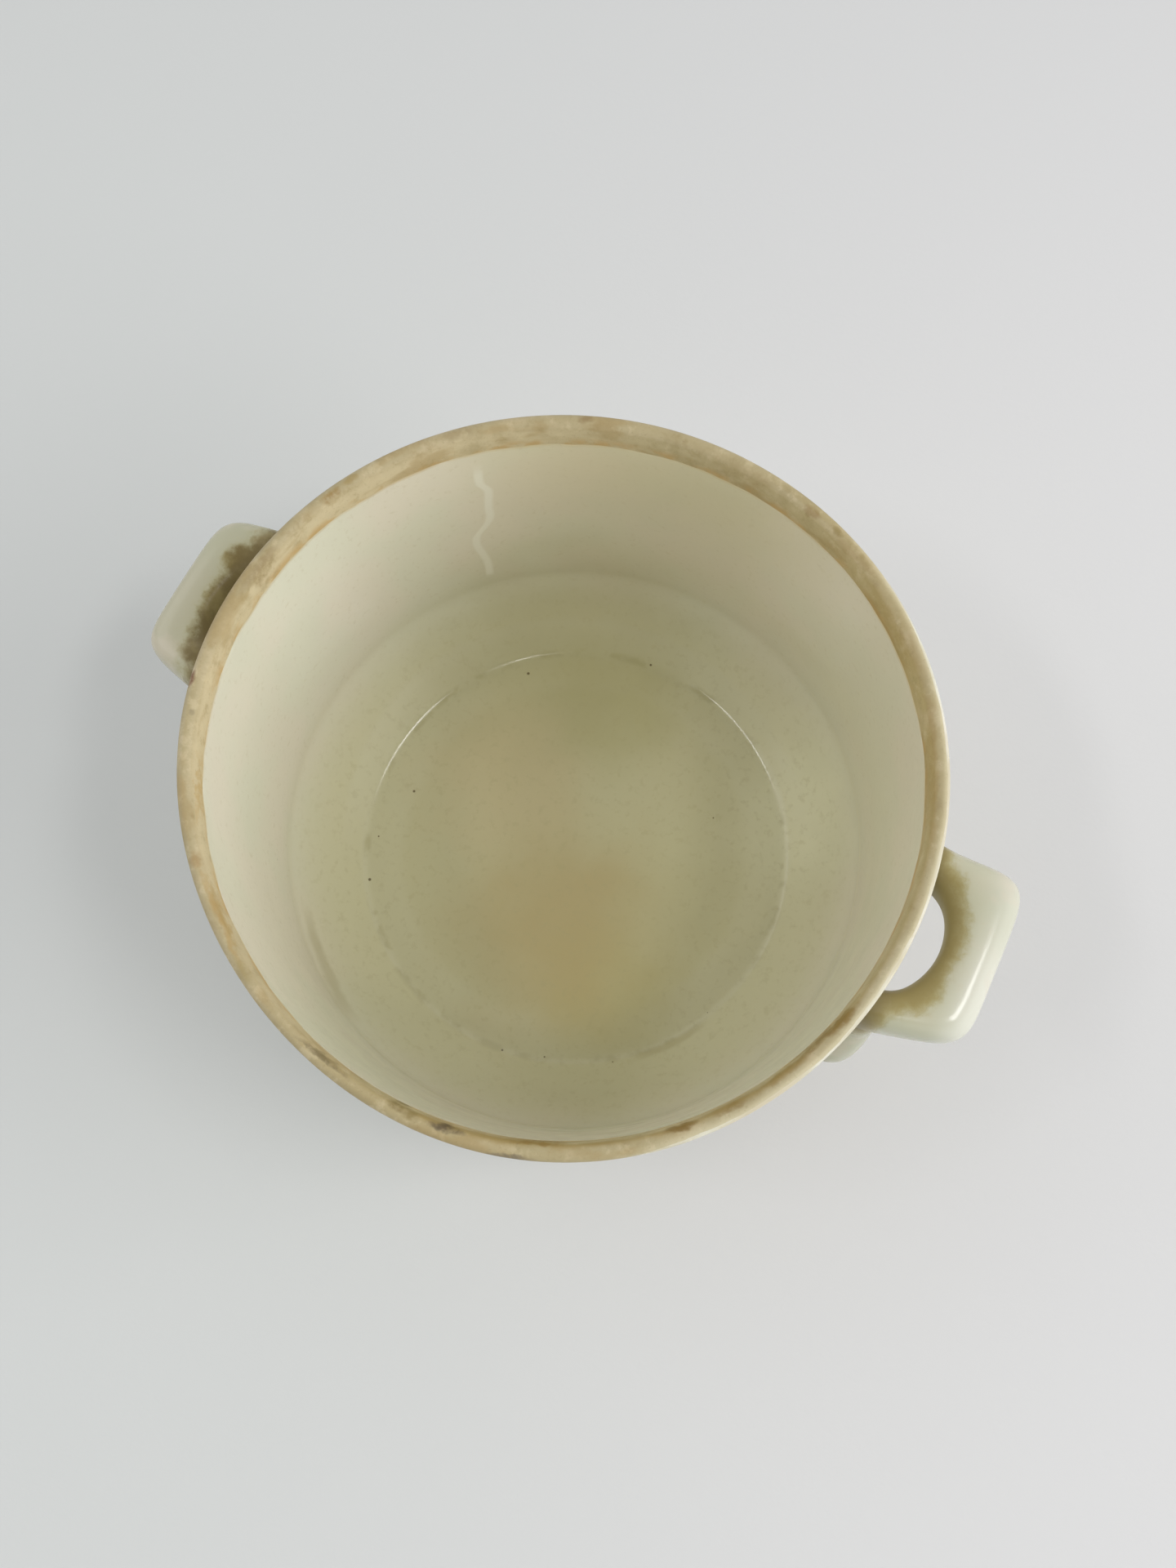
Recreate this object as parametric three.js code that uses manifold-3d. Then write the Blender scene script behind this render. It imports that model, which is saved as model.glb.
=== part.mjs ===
// Round two-handled cocotte in glazed earthenware, without its lid. Millimetres, +Z up.
// The origin is on the ground under the centre of the foot ring. The handles lie along X,
// each a little behind the middle.
import * as THREE from "three";
import { mergeVertices } from "three/addons/utils/BufferGeometryUtils.js";
import Module from "manifold-3d";

const wasm = await Module();
wasm.setup();

// Sizes of the pot, measured on the glazed surface
const rimDiameter = 180;
const potHeight = 108;
const rimWidth = 6.5;
const rimOuterRounding = 2.6;
const rimInnerRounding = 0.8;
const outsideDraft = 1;
const insideDraft = 1;
const baseThickness = 6.5;
const coveHeight = 19;
const floorRadius = 63.7;
const floorCornerRounding = 9;
const insideShoulderRounding = 16;
const coveBow = 2.4;
const outsideWallHeight = 28;
const outsideShoulderRounding = 14;

// Foot ring and the hollow inside it
const footDiameter = 133;
const footWidth = 5.5;
const footHollow = 4;
const footRounding = 1.2;
const footFlare = 2.2;
const bareFootHeight = 2;

// Glaze coats and the slip that holds the handles
const glazeThickness = 0.5;
const slipThickness = 0.6;
const slipSpread = 0.5;
const clearance = 0.3;

// Handles
const handleBelowRim = 18;
const handleReach = 23.2;
const handleRootWidth = 47.5;
const handleOuterWidth = 38.5;
const handleCornerSharpness = 7;
const gripHeight = 12.5;
const rootHeight = 18;
const fingerHoleWidth = 28;
const fingerHoleReach = 10.8;
const fingerHoleSharpness = 2;
const edgeSharpness = 2.9;
const rootSharpness = 6;
const tongueLength = 38;
const tongueWidth = 13;
const tongueRise = 10.5;
const tongueNeck = 0.35;
const tongueTipSharpness = 6;
const tongueSplay = 11;
const handleSkew = 2;

// Fineness of the facets, and the longest share of an edge that a rounding may take
const turns = 48;
const handleSteps = 32;
const handleSectionPoints = 12;
const tongueSteps = 6;
const sameSpot = 1e-4;
const mostOfAnEdge = 0.49;

const rimRadius = rimDiameter / 2;
const footRadius = footDiameter / 2;
const floorZ = footHollow + baseThickness;
const coatSeat = glazeThickness + clearance;

// Outlines: a corner is [radius from the axis, height, rounding, steps of its arc]
function roundedOutline(corners) {
  const points = [];
  corners.forEach(([r, z, rounding = 0, steps = 1], i) => {
    const corner = new THREE.Vector2(r, z);
    if (rounding === 0) {
      points.push(corner);
      return;
    }
    const before = new THREE.Vector2(...corners[i - 1]).sub(corner);
    const after = new THREE.Vector2(...corners[i + 1]).sub(corner);
    const inwards = before.clone().normalize();
    const onwards = after.clone().normalize();
    const halfAngle = Math.acos(THREE.MathUtils.clamp(inwards.dot(onwards), -1, 1)) / 2;
    const room = mostOfAnEdge * Math.min(before.length(), after.length());
    const trim = Math.min(rounding / Math.tan(halfAngle), room);
    const start = corner.clone().addScaledVector(inwards, trim);
    const end = corner.clone().addScaledVector(onwards, trim);
    const arc = new THREE.QuadraticBezierCurve(start, corner, end);
    points.push(...arc.getPoints(steps));
  });
  return points;
}

// Moves an outline into the clay by a depth, or out of it when the depth is negative
function sunk(points, depth) {
  return points.map((point, i) => {
    const before = points[Math.max(i - 1, 0)];
    const after = points[Math.min(i + 1, points.length - 1)];
    const into = before === point ? after.clone().sub(point) : point.clone().sub(before);
    const out = after === point ? point.clone().sub(before) : after.clone().sub(point);
    const first = new THREE.Vector2(into.y, -into.x).normalize();
    const second = new THREE.Vector2(out.y, -out.x).normalize();
    const miter = first.clone().add(second);
    return point.clone().addScaledVector(miter, depth / (1 + first.dot(second)));
  });
}

// The line of a cove between two corners, bowed away from the pot's inside
function coveCorner(low, high, bow) {
  const along = new THREE.Vector2().subVectors(high, low);
  const outwards = new THREE.Vector2(along.y, -along.x).normalize();
  return low.clone().lerp(high, 0.5).addScaledVector(outwards, 2 * bow);
}

const insideFloorCorner = new THREE.Vector2(floorRadius, floorZ);
const insideShoulder = new THREE.Vector2(rimRadius - rimWidth - insideDraft, floorZ + coveHeight);
const insideCove = coveCorner(insideFloorCorner, insideShoulder, coveBow);
const insideOutline = roundedOutline([
  [0, floorZ],
  [floorRadius, floorZ, floorCornerRounding, 3],
  [insideCove.x, insideCove.y, rimRadius, 4],
  [insideShoulder.x, insideShoulder.y, insideShoulderRounding, 2],
  [rimRadius - rimWidth, potHeight, rimInnerRounding, 2],
  [rimRadius - rimWidth + rimInnerRounding + clearance, potHeight],
]);
insideOutline.pop();

const outsideShoulder = new THREE.Vector2(rimRadius - outsideDraft, outsideWallHeight);
const footTop = new THREE.Vector2(footRadius, footHollow);
const outsideCove = coveCorner(footTop, outsideShoulder, coveBow);
const outsideOutline = roundedOutline([
  [rimRadius - 2 * rimOuterRounding, potHeight],
  [rimRadius, potHeight, rimOuterRounding, 3],
  [outsideShoulder.x, outsideShoulder.y, outsideShoulderRounding, 2],
  [outsideCove.x, outsideCove.y, rimRadius, 3],
  [footTop.x, footTop.y, footFlare, 1],
  [footRadius, bareFootHeight],
]);
outsideOutline.shift();

const hollowRadius = footRadius - footWidth;
const baseOutline = roundedOutline([
  [hollowRadius, bareFootHeight],
  [hollowRadius, footHollow, footRounding, 1],
  [0, footHollow],
]);

// The bare clay of the rim and of the foot stands in a rebate at the edge of each coat
const insideGlazeEnd = insideOutline[insideOutline.length - 1];
const outsideGlazeStart = outsideOutline[0];
const bareRim = [
  new THREE.Vector2(insideGlazeEnd.x + clearance, potHeight - coatSeat),
  new THREE.Vector2(insideGlazeEnd.x + clearance, potHeight),
  new THREE.Vector2(outsideGlazeStart.x - clearance, potHeight),
  new THREE.Vector2(outsideGlazeStart.x - clearance, potHeight - coatSeat),
];
const bareFoot = roundedOutline([
  [footRadius - coatSeat, bareFootHeight - clearance],
  [footRadius, bareFootHeight - clearance],
  [footRadius, 0, footRounding, 2],
  [hollowRadius, 0, footRounding, 2],
  [hollowRadius, bareFootHeight - clearance],
  [hollowRadius + coatSeat, bareFootHeight - clearance],
]);

// Closed solids from outlines and rings, and their booleans
function geometryFrom(positions, triangles) {
  const geometry = new THREE.BufferGeometry();
  geometry.setAttribute("position", new THREE.Float32BufferAttribute(positions, 3));
  geometry.setIndex(triangles);
  return geometry;
}

function solidFrom(geometry) {
  geometry.deleteAttribute("normal");
  geometry.deleteAttribute("uv");
  const merged = mergeVertices(geometry, sameSpot);
  const index = Array.from(merged.index.array);
  const kept = [];
  for (let i = 0; i < index.length; i += 3) {
    const [a, b, c] = index.slice(i, i + 3);
    if (a !== b && b !== c && c !== a) kept.push(a, b, c);
  }
  return new wasm.Manifold(
    new wasm.Mesh({
      numProp: 3,
      vertProperties: new Float32Array(merged.attributes.position.array),
      triVerts: new Uint32Array(kept),
    }),
  );
}

function geometryOf(solid) {
  const mesh = solid.getMesh();
  const positions = [];
  for (let i = 0; i < mesh.vertProperties.length; i += mesh.numProp) {
    positions.push(...mesh.vertProperties.slice(i, i + 3));
  }
  return geometryFrom(positions, Array.from(mesh.triVerts));
}

// An outline turned about the upright axis; it runs with the clay on its right
function turned(outline) {
  const lathe = new THREE.LatheGeometry([...outline].reverse(), turns);
  lathe.rotateX(Math.PI / 2);
  return solidFrom(lathe);
}

// A skin between rings of equally many points, closed at both ends
function lofted(rings) {
  const positions = [];
  const triangles = [];
  const count = rings[0].length;
  rings.forEach((ring) => ring.forEach((point) => positions.push(point.x, point.y, point.z)));
  for (let i = 0; i + 1 < rings.length; i++) {
    for (let j = 0; j < count; j++) {
      const a = i * count + j;
      const b = i * count + ((j + 1) % count);
      triangles.push(a, b, b + count, a, b + count, a + count);
    }
  }
  [0, rings.length - 1].forEach((end) => {
    const middle = positions.length / 3;
    const centre = new THREE.Vector3();
    rings[end].forEach((point) => centre.addScaledVector(point, 1 / count));
    positions.push(centre.x, centre.y, centre.z);
    for (let j = 0; j < count; j++) {
      const a = end * count + j;
      const b = end * count + ((j + 1) % count);
      triangles.push(...(end === 0 ? [middle, b, a] : [middle, a, b]));
    }
  });
  return solidFrom(geometryFrom(positions, triangles));
}

// Pot: clay body, and the coats of glaze inside, outside and under the base
function coat(outline) {
  return turned([...outline, ...sunk(outline, glazeThickness).reverse(), outline[0]]);
}

const bodySolid = turned([
  ...sunk(insideOutline, coatSeat),
  ...bareRim,
  ...sunk(outsideOutline, coatSeat),
  ...bareFoot,
  ...sunk(baseOutline, coatSeat),
]);
const insideCoat = coat(insideOutline);
const outsideCoat = coat(outsideOutline);
const baseCoat = coat(baseOutline);

// Everything within the outside wall, grown by an amount: it trims what sits on the wall
function wallCore(grown) {
  const skin = sunk(outsideOutline, -grown);
  const top = skin[0].y;
  const bottom = skin[skin.length - 1].y;
  return turned([new THREE.Vector2(0, top), ...skin, new THREE.Vector2(0, bottom)]);
}

// Handle: a lug whose outline is a squared ellipse, pierced by a half-moon finger hole
const handleTop = potHeight - handleBelowRim;
const superellipse = (angle, across, along, sharpness) =>
  (Math.abs(Math.cos(angle) / across) ** sharpness +
    Math.abs(Math.sin(angle) / along) ** sharpness) ** (-1 / sharpness);

function lugSection(angle, grow, setBack) {
  const hole = superellipse(angle, fingerHoleWidth / 2, fingerHoleReach, fingerHoleSharpness) - grow;
  const outer = superellipse(angle, handleRootWidth / 2, handleReach, handleCornerSharpness) + grow;
  const nearRoot = Math.abs(Math.cos(angle)) ** rootSharpness;
  const height = gripHeight + (rootHeight - gripHeight) * nearRoot;
  const middle = (hole + outer) / 2;
  const halfWidth = (outer - hole) / 2;
  const halfHeight = height / 2 + grow;
  const ring = [];
  for (let j = 0; j < handleSectionPoints; j++) {
    const turn = (2 * Math.PI * j) / handleSectionPoints;
    const spread = superellipse(turn, 1, 1, edgeSharpness);
    const out = middle + halfWidth * spread * Math.cos(turn);
    const reach = out * Math.sin(angle);
    const taper = 1 - (1 - handleOuterWidth / handleRootWidth) * (reach / handleReach);
    ring.push(
      new THREE.Vector3(
        rimRadius + reach - setBack,
        -out * Math.cos(angle) * taper,
        handleTop - height / 2 - halfHeight * spread * Math.sin(turn),
      ),
    );
  }
  return ring;
}

// Tongue: the lower end of an arm, drawn down the wall and rounded off
const armMiddle = (handleRootWidth + fingerHoleWidth) / 4;
const tongueTop = handleTop - gripHeight;

function tongue(side, grow) {
  const rings = [];
  for (let i = 0; i <= tongueSteps; i++) {
    const down = Math.sin((Math.PI * i) / (2 * tongueSteps));
    const full = (1 - (1 - down) * tongueNeck) * Math.sqrt(1 - down ** tongueTipSharpness);
    const bearing = (side * (armMiddle + tongueSplay * down)) / rimRadius;
    const halfWidth = (tongueWidth / 2) * full + grow;
    const rise = tongueRise * full + grow;
    const ring = [];
    for (let j = 0; j < handleSectionPoints; j++) {
      const turn = (2 * Math.PI * j) / handleSectionPoints;
      const distance = rimRadius - outsideDraft + rise * Math.cos(turn);
      const around = bearing - (halfWidth * Math.sin(turn)) / rimRadius;
      ring.push(
        new THREE.Vector3(
          distance * Math.cos(around),
          distance * Math.sin(around),
          tongueTop - (tongueLength + grow) * down,
        ),
      );
    }
    rings.push(ring);
  }
  return lofted(rings);
}

function handleBlank(grow) {
  const rings = [lugSection(0, grow, rimWidth)];
  for (let i = 0; i <= handleSteps; i++) {
    rings.push(lugSection((Math.PI * i) / handleSteps, grow, 0));
  }
  rings.push(lugSection(Math.PI, grow, rimWidth));
  return lofted(rings).add(tongue(1, grow)).add(tongue(-1, grow));
}

// Radial stack under a handle: clay, slip, handle, each with its clearance
const slipBack = -glazeThickness;
const slipFace = slipBack + slipThickness;
const handleSolid = handleBlank(0).subtract(wallCore(slipFace + clearance));

function halfSpace(side) {
  const box = new THREE.BoxGeometry(rimDiameter, rimDiameter, 2 * potHeight);
  box.translate(rimRadius, (side * rimDiameter) / 2, potHeight);
  return solidFrom(box);
}

const slipLayer = handleBlank(slipSpread).intersect(wallCore(slipFace)).subtract(wallCore(slipBack));
const slipPads = [1, -1].map((side) => slipLayer.intersect(halfSpace(side)));

// Both handles stand a little behind the middle, each in a window of the outside coat
const skew = THREE.MathUtils.degToRad(handleSkew);
const sides = [
  ["right", skew],
  ["left", Math.PI - skew],
];
const rootWindow = handleBlank(slipSpread + clearance);
const piercedCoat = sides.reduce(
  (coated, [, bearing]) => coated.subtract(solidFrom(geometryOf(rootWindow).rotateZ(bearing))),
  outsideCoat,
);

// Assembly
const bareClay = { color: 0xc2a883, roughness: 0.75, metalness: 0 };
const creamGlaze = { color: 0xd6d2bc, roughness: 0.15, metalness: 0 };
const paleGlaze = { color: 0xdadac8, roughness: 0.18, metalness: 0 };
const driedSlip = { color: 0xcfc4a8, roughness: 0.7, metalness: 0 };

function piece(name, solid, finish) {
  const mesh = new THREE.Mesh(geometryOf(solid), new THREE.MeshStandardMaterial(finish));
  mesh.name = name;
  return mesh;
}

const cocotte = new THREE.Group();
cocotte.add(piece("pot_body", bodySolid, bareClay));
cocotte.add(piece("inside_glaze", insideCoat, creamGlaze));
cocotte.add(piece("outside_glaze", piercedCoat, paleGlaze));
cocotte.add(piece("base_glaze", baseCoat, paleGlaze));

sides.forEach(([side, bearing]) => {
  const handle = new THREE.Group();
  handle.rotation.z = bearing;
  handle.add(piece(`handle_${side}`, handleSolid, paleGlaze));
  slipPads.forEach((pad, i) => {
    handle.add(piece(`slip_joint_${side}_${i + 1}`, pad, driedSlip));
  });
  cocotte.add(handle);
});

export default cocotte;
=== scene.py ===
# Cocotte: a round pot of cream-glazed earthenware with two pierced lug handles, without its lid.
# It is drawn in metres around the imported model, and each piece stands for a node of that model.
from math import cos, pi, radians, sin, tan

import bmesh
import bpy
import numpy as np
from mathutils import Matrix, Vector, noise


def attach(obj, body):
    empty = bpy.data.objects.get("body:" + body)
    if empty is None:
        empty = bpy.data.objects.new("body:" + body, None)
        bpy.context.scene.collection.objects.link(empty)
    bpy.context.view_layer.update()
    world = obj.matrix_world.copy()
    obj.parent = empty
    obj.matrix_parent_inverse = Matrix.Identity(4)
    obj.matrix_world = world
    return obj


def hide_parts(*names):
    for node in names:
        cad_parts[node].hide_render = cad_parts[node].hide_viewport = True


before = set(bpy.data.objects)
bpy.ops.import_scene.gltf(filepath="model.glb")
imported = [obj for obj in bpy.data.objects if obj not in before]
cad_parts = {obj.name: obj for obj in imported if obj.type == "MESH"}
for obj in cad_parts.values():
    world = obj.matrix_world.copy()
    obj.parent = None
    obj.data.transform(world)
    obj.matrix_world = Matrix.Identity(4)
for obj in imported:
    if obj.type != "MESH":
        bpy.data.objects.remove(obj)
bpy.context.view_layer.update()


# The clay pot: buff earthenware, turned in one with its foot ring and fired.
# Its clay shows where no glaze was left, on the rim that the lid sat on and under the foot,
# and there it has drawn in years of brown cooking stains.
pot_height = 0.108
rim_radius = 0.090
floor_height = 0.0105
foot_radius = 0.0665
foot_width = 0.0055
foot_hollow = 0.004
wall_draft = 0.001
points_around = 240


def outline(corners):
    """The profile through corners (radius, height, rounding), each rounded as a soft arc."""
    line = []
    for i, (radius, height, rounding) in enumerate(corners):
        corner = Vector((radius, height))
        if not rounding:
            line.append(corner)
            continue
        back = Vector(corners[i - 1][:2]) - corner
        ahead = Vector(corners[i + 1][:2]) - corner
        most = 0.49 * min(back.length, ahead.length)
        trim = min(rounding / tan(back.angle(ahead) / 2), most)
        start = corner + back.normalized() * trim
        end = corner + ahead.normalized() * trim
        steps = 24
        for step in range(steps + 1):
            share = step / steps
            line.append(start.lerp(corner, share).lerp(corner.lerp(end, share), share))
    return np.array(line)


inside_floor_edge = (0.0637, floor_height)
inside_wall_foot = (0.0825, 0.0295)
outside_wall_foot = (rim_radius - wall_draft, 0.028)
inside_cove = (0.0753, 0.0187)
outside_cove = (0.0811, 0.0126)
rim_lip = [(0.0862, 0.1045), (0.0869, 0.1073), (0.0886, 0.1082), (0.0900, 0.1073), (0.08995, 0.1050)]
# a rounding larger than fits, so that each corner of the lip is rounded off as far as it can be
rounded_off = 0.1
pot_line = outline([
    (0, floor_height, 0),
    (*inside_floor_edge, 0.004),
    (*inside_cove, rim_radius),
    (*inside_wall_foot, 0.009),
    *((*corner, rounded_off) for corner in rim_lip),
    (*outside_wall_foot, 0.014),
    (*outside_cove, rim_radius),
    (foot_radius, foot_hollow, 0.0022),
    (foot_radius, 0, 0.0012),
    (foot_radius - foot_width, 0, 0.0012),
    (foot_radius - foot_width, foot_hollow, 0.0012),
    (0, foot_hollow, 0),
])
pot_lengths = np.linalg.norm(np.diff(pot_line, axis=0), axis=1)
pot_run = np.concatenate(([0], np.cumsum(pot_lengths)))


def on_outline(run, depth=0.0):
    """Radius and height at a run along the pot's profile, sunk into the clay by a depth."""
    span = 0.0002
    radius, height = (np.interp(run, pot_run, pot_line[:, i]) for i in (0, 1))
    before, after = (
        np.stack([np.interp(run + step, pot_run, pot_line[:, i]) for i in (0, 1)]) for step in (-span, span)
    )
    along = after - before
    along /= np.linalg.norm(along, axis=0)
    return radius + depth * along[1], height - depth * along[0]


def run_to(radius, height):
    """How far along the profile a point on it lies."""
    spots = np.linspace(0, pot_run[-1], 20000)
    near_radius, near_height = on_outline(spots)
    return spots[np.argmin(np.hypot(near_radius - radius, near_height - height))]


def eased(value, low, high):
    """0 below low and 1 above high, with a smooth rise between."""
    share = np.clip((value - low) / (high - low), 0, 1)
    return share * share * (3 - 2 * share)


kiln_pull_bearing = radians(31.7)


def fired(x, y, z):
    """The kiln pulled the rim up to one and a half percent out of round and left the foot as it
    was. Seen from outside, the wall is up to 1.4 mm thicker on one side than on another."""
    radius, turn = np.hypot(x, y), np.arctan2(y, x)
    bearing = turn - kiln_pull_bearing
    drop = np.clip((pot_height - z) / (pot_height - floor_height), 0, 1)
    pull = 1 - 0.4 * drop - 0.6 * drop**6
    two = -0.0022 * np.cos(2 * bearing) - 0.0095 * np.sin(2 * bearing)
    three = 0.0028 * np.cos(3 * bearing) + 0.0046 * np.sin(3 * bearing)
    swell = 0.00053 + 0.00033 * np.sin(turn) - 0.00015 * np.sin(2 * turn)
    swell += 0.00025 * np.cos(3 * turn + radians(151)) + 0.00022 * np.sin(4 * turn)
    swell *= eased(radius, 0.0845, 0.0895) * eased(z, 0.02, 0.06)
    factor = 1 + pull * (two + three) + swell / np.maximum(radius, 0.001)
    return x * factor, y * factor, z


def new_piece(name, points, faces):
    """A mesh object with smooth shading and faces that point out."""
    mesh = bpy.data.meshes.new(name)
    mesh.from_pydata(points, [], faces)
    shape = bmesh.new()
    shape.from_mesh(mesh)
    bmesh.ops.recalc_face_normals(shape, faces=shape.faces)
    shape.to_mesh(mesh)
    shape.free()
    mesh.shade_smooth()
    piece = bpy.data.objects.new(name, mesh)
    bpy.context.scene.collection.objects.link(piece)
    return piece


bearings = np.linspace(0, 2 * pi, points_around, endpoint=False)


def turned(name, radius, height, marks):
    """A closed piece turned about the upright axis. radius and height have a row per ring, and
    marks are values that its finish reads, laid out the same way."""
    pole = [radius[end].max() < 1e-6 for end in (0, -1)]
    x, y, z = fired(radius * np.cos(bearings), radius * np.sin(bearings), height)
    points = np.stack([x, y, z], axis=-1).reshape(-1, 3)
    rings = len(radius)
    faces = []
    for i in range(rings - 1 if any(pole) else rings):
        below, above = i * points_around, (i + 1) % rings * points_around
        for j in range(points_around):
            k = (j + 1) % points_around
            faces.append((below + j, below + k, above + k, above + j))
    piece = new_piece(name, points, faces)
    for mark, values in marks.items():
        layer = piece.data.attributes.new(mark, "FLOAT", "POINT")
        layer.data.foreach_set("value", np.ascontiguousarray(values, np.float32).ravel())
    weld = bmesh.new()
    weld.from_mesh(piece.data)
    bmesh.ops.remove_doubles(weld, verts=weld.verts, dist=1e-7)
    bmesh.ops.recalc_face_normals(weld, faces=weld.faces)
    weld.to_mesh(piece.data)
    weld.free()
    return piece


def wander(seed, reach, turns):
    """A line that strays by up to reach as it goes round, with about so many swings."""
    way = [Vector((turns * cos(b), turns * sin(b), seed)) for b in bearings]
    return np.array([reach * noise.fractal(spot, 0.8, 2.0, 4) for spot in way])


# Edges of the glaze, as runs along the profile for each bearing. Inside, it was wiped off down to
# where the lid's flange reached. Outside, it climbs over the rim's edge only towards the right
# handle.
glaze_thickness = 0.0005
bare_depth = 0.00005
inner_edge = run_to(0.0860, 0.1007) + wander(3.1, 0.0007, 5)
covered = eased(np.cos(bearings - radians(4)), 0.2, 0.75)
outer_edge = run_to(rim_radius, 0.1050) - 0.0032 * covered + wander(8.7, 0.0005, 6)
foot_outer_edge = run_to(foot_radius, 0.002) + wander(5.5, 0.0003, 5)
foot_inner_edge = run_to(foot_radius - foot_width, 0.002) + wander(1.2, 0.0003, 5)


def bare_between(run, start, end):
    """1 where the clay is bare from start to end and just under the glaze beyond, 0 elsewhere."""
    near, far = 0.0007, 0.0012
    return eased(run, start - far, start - near) * (1 - eased(run, end + near, end + far))


# rings lie close together where the clay is bare and a little beyond, and further apart elsewhere
margin = 0.002
glazed_step, rim_step, foot_step = 0.002, 0.00025, 0.0004
rings_below = 20
rim_start, rim_end = inner_edge.min() - margin, outer_edge.max() + margin
foot_start, foot_end = foot_outer_edge.min() - margin, foot_inner_edge.max() + margin
clay_run = np.concatenate([
    np.arange(0, rim_start, glazed_step),
    np.arange(rim_start, rim_end, rim_step),
    np.arange(rim_end, foot_start, glazed_step),
    np.arange(foot_start, foot_end, foot_step),
    np.linspace(foot_end, pot_run[-1], rings_below),
])[:, None]
bare_clay = bare_between(clay_run, inner_edge, outer_edge)
bare_clay += bare_between(clay_run, foot_outer_edge, foot_inner_edge)
clay_depth = glaze_thickness + (bare_depth - glaze_thickness) * bare_clay
clay_radius, clay_height = on_outline(clay_run + 0 * bearings, clay_depth)
clay_radius[[0, -1]] = 0
edge_marks = {"past_inner_edge": clay_run - inner_edge, "short_of_outer_edge": outer_edge - clay_run}
clay_pot = turned("clay_pot", clay_radius, clay_height, edge_marks)


class Wire:
    """A number on its way through a finish. Arithmetic on it adds Math nodes."""

    def __init__(self, finish, socket):
        self.finish = finish
        self.socket = socket

    def __add__(self, other):
        return self.finish.maths("ADD", self, other)

    def __sub__(self, other):
        return self.finish.maths("SUBTRACT", self, other)

    def __rsub__(self, other):
        return self.finish.maths("SUBTRACT", other, self)

    def __mul__(self, other):
        return self.finish.maths("MULTIPLY", self, other)

    def __truediv__(self, other):
        return self.finish.maths("DIVIDE", self, other)

    def __rtruediv__(self, other):
        return self.finish.maths("DIVIDE", other, self)

    def __pow__(self, other):
        return self.finish.maths("POWER", self, other)

    def __rpow__(self, other):
        return self.finish.maths("POWER", other, self)

    __radd__ = __add__
    __rmul__ = __mul__


def tone(red, green, blue):
    """A colour as a painter's chart gives it, 0 to 255, turned into light."""
    shares = (value / 255 for value in (red, green, blue))
    return (*((s / 12.92 if s < 0.04045 else ((s + 0.055) / 1.055) ** 2.4) for s in shares), 1)


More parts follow.
